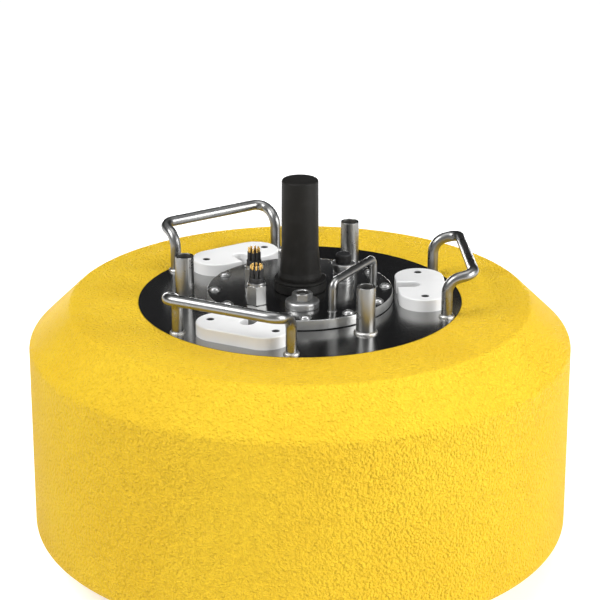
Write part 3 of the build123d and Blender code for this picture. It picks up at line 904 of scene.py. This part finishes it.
for number in (1, 2):
    shell_low, shell_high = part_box(f"connector_shell_{number}")
    insert_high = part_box(f"connector_insert_{number}")[1]
    middle = (shell_low + shell_high) / 2
    hex_top = shell_high.z - spigot_height
    insert_top = insert_high.z - sleeve_height
    shell_outline = [
        (0, lid_top),
        (shell_flat - shell_lower_bevel, lid_top),
        (shell_flat, lid_top + shell_foot_rise, shell_corner),
        (shell_flat, hex_top - shell_corner_rise, shell_corner),
        (shell_flat, hex_top - shell_corner_rise / 2, shell_corner - shell_corner_cut),
        (shell_flat - shell_upper_bevel, hex_top),
        (spigot_radius, hex_top),
        (spigot_radius, shell_high.z - spigot_round),
        (spigot_radius - spigot_round_middle, shell_high.z - spigot_round_middle),
        (spigot_radius - spigot_round, shell_high.z),
        (0, shell_high.z),
    ]
    shell_name = f"pin_shell_{number}"
    shell_turn = math.radians(pin_spokes[number] + shell_twists[number] + flat_to_corner)
    shell_mesh = turned_mesh(shell_name, shell_outline, 72, middle, shell_turn)
    pin_shell = placed(shell_name, shell_mesh, machined_steel, 25)
    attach(pin_shell, "lid")
    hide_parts(f"connector_shell_{number}")
    insert_corners = [
        (0, shell_high.z, 0),
        (insert_radius, shell_high.z, insert_lower_round),
        (insert_radius, insert_top, insert_edge),
        (0, insert_top, 0),
    ]
    first_pin = math.radians(pin_spokes[number])
    pin_foot = Vector((middle.x, middle.y, insert_top))
    contact_foot = Vector((middle.x, middle.y, insert_high.z))
    disc = turned_mesh(f"pin_insert_{number}", rounded(insert_corners, 4), 48, middle)
    sleeves = ring_of("pin_sleeves", sleeve, black_rubber, pin_count, pin_circle, pin_foot, first_pin)
    pin_insert = placed(f"pin_insert_{number}", joined(f"pin_insert_{number}", [disc, sleeves]), black_rubber)
    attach(pin_insert, "lid")
    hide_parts(f"connector_insert_{number}")
    contacts = ring_of("pin_contacts", contact, gold_plate, pin_count, pin_circle, contact_foot, first_pin)
    pin_contacts = placed(f"pin_contacts_{number}", contacts, gold_plate)
    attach(pin_contacts, "lid")
    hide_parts(f"connector_contacts_{number}")

# Capped connector: a round stainless body with a coarse thread and a rim, closed by a ribbed rubber cap.
# The cap keeps water out of the socket while nothing is plugged in.
capped_low, capped_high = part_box("capped_shell")
cap_low, cap_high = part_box("connector_cap")
middle = (capped_low + capped_high) / 2
body_radius = 11.6 * mm
body_lower_round = 0.2 * mm
rim_radius = (capped_high.x - capped_low.x) / 2
rim_height = 4 * mm
rim_low = capped_high.z - rim_height
rim_lower_round = 0.5 * mm
rim_round = 0.8 * mm
thread_turns = 4
thread_pitch = 3.4 * mm
thread_depth = 0.8 * mm
crest_share = 0.3
crest_round = 0.25 * mm
root_share = 0.15
root_round = 0.2 * mm
capped_corners = [(0, lid_top, 0), (body_radius, lid_top, body_lower_round)]
for step in range(1, thread_turns + 1):
    groove = lid_top + thread_pitch * step
    capped_corners += [
        (body_radius, groove - thread_pitch * crest_share, crest_round),
        (body_radius - thread_depth, groove - thread_pitch * root_share, root_round),
        (body_radius - thread_depth, groove + thread_pitch * root_share, root_round),
        (body_radius, groove + thread_pitch * crest_share, crest_round),
    ]
capped_corners += [
    (body_radius, rim_low, root_round),
    (rim_radius, rim_low, rim_lower_round),
    (rim_radius, capped_high.z, rim_round),
    (0, capped_high.z, 0),
]
capped_mesh = turned_mesh("capped_body", rounded(capped_corners, 3), 96, middle)
capped_body = placed("capped_body", capped_mesh, bolt_steel)
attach(capped_body, "lid")
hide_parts("capped_shell")
cap_radius = (cap_high.x - cap_low.x) / 2
rib_radius = 0.45 * mm
rib_count = 40
rib_lift = 0.4 * mm
rib_length = cap_high.z - cap_low.z - 1.4 * mm
rib_lower_round = 0.1 * mm
rib_round = 0.4 * mm
cap_core = cap_radius - rib_radius
cap_lower_round = 0.3 * mm
cap_round = 1.2 * mm
cap_corners = [
    (0, cap_low.z, 0),
    (cap_core, cap_low.z, cap_lower_round),
    (cap_core, cap_high.z, cap_round),
    (0, cap_high.z, 0),
]
rib_corners = [
    (0, 0, 0),
    (rib_radius, 0, rib_lower_round),
    (rib_radius, rib_length, rib_round),
    (0, rib_length, 0),
]
cap_rib = turned_mesh("cap_rib", rounded(rib_corners, 3), 10)
rib_foot = Vector((middle.x, middle.y, cap_low.z + rib_lift))
ribs = ring_of("cap_ribs", cap_rib, black_rubber, rib_count, cap_core, rib_foot)
cap_disc = turned_mesh("cap_disc", rounded(cap_corners, 5), 96, middle)
ribbed_cap = placed("ribbed_cap", joined("ribbed_cap", [cap_disc, ribs]), black_rubber)
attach(ribbed_cap, "lid")
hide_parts("connector_cap")

# Studio: a wide pale floor that runs out of sight, soft lamps and a dim far side for the steel to mirror.
# The floor shows white to the camera and to reflections, and still takes the buoy's soft shadow.
floor_size = 40.0
floor_white = (0.9, 0.9, 0.9)
floor_glow = 0.5
floor_mesh = bpy.data.meshes.new("studio_floor")
half = floor_size / 2
floor_drop = -0.5 * mm
floor_signs = ((-1, -1), (1, -1), (1, 1), (-1, 1))
floor_corners = [(sign_x * half, sign_y * half, floor_drop) for sign_x, sign_y in floor_signs]
floor_mesh.from_pydata(floor_corners, [], [(0, 1, 2, 3)])
floor_paint, tree, shader, _ = new_finish("floor_paint", floor_white, 0.9)
shader.inputs["Specular IOR Level"].default_value = 0.0
path = tree.nodes.new("ShaderNodeLightPath").outputs
seen = reckoned(tree, "MAXIMUM", path["Is Camera Ray"], path["Is Glossy Ray"])
seen = reckoned(tree, "MAXIMUM", seen, path["Is Transmission Ray"])
shader.inputs["Emission Color"].default_value = (1, 1, 1, 1)
tree.links.new(reckoned(tree, "MULTIPLY", seen, floor_glow), shader.inputs["Emission Strength"])
floor = placed("studio_floor", floor_mesh, floor_paint)

sky_bright = (0.36, 0.365, 0.37)
sky_dim = (0.012, 0.012, 0.013)
far_side = (-0.35, 0.94, 0)
studio = bpy.data.worlds.new("studio")
studio.use_nodes = True
scene.world = studio
tree = studio.node_tree
sky = tree.nodes["Background"]
direction = tree.nodes.new("ShaderNodeTexCoord").outputs["Generated"]
parts = tree.nodes.new("ShaderNodeSeparateXYZ")
tree.links.new(direction, parts.inputs[0])
above = ranged(tree, parts.outputs["Z"], 0.1, 0.17, 0, 1)
below = ranged(tree, parts.outputs["Z"], 0.55, 0.8, 1, 0)
to_far_side = tree.nodes.new("ShaderNodeVectorMath")
to_far_side.operation = "DOT_PRODUCT"
to_far_side.inputs[1].default_value = far_side
tree.links.new(direction, to_far_side.inputs[0])
behind = ranged(tree, to_far_side.outputs["Value"], -0.1, 0.3, 0, 1)
dim = reckoned(tree, "MULTIPLY", reckoned(tree, "MULTIPLY", above, below), behind)
tree.links.new(mixed(tree, dim, sky_bright, sky_dim), sky.inputs["Color"])
sky.inputs["Strength"].default_value = 1.0

lamp_aim = Vector((0, 0, 0.17))
lamps = [
    ("key_lamp", (2.9, -1.5, 1.4), (2.4, 2.4), 109),
    ("fill_lamp", (-2.6, -1.1, 2.9), (2.3, 2.3), 108),
    ("top_lamp", (0.1, 0.0, 3.0), (2.0, 2.0), 21),
    ("back_lamp", (0.0, 2.6, 0.17), (2.4, 0.3), 26),
]
for name, spot, (width, depth), power in lamps:
    lamp = bpy.data.lights.new(name, "AREA")
    lamp.shape = "RECTANGLE"
    lamp.size = width
    lamp.size_y = depth
    lamp.energy = power
    lamp_holder = bpy.data.objects.new(name, lamp)
    lamp_holder.location = spot
    lamp_holder.rotation_mode = "QUATERNION"
    lamp_holder.rotation_quaternion = (lamp_aim - Vector(spot)).to_track_quat("-Z", "Y")
    scene.collection.objects.link(lamp_holder)

camera_sensor = 36
camera_lens = 139.08
camera_spot = (-0.1408, -2.4049, 1.183)
camera_tilt = math.radians(69.82)
camera_turn = math.radians(-3.35)
camera = bpy.data.cameras.new("photo_camera")
camera.sensor_width = camera_sensor
camera.lens = camera_lens
camera_holder = bpy.data.objects.new("photo_camera", camera)
camera_holder.location = camera_spot
camera_holder.rotation_euler = (camera_tilt, 0, camera_turn)
scene.collection.objects.link(camera_holder)
scene.camera = camera_holder
scene.view_settings.view_transform = "Standard"
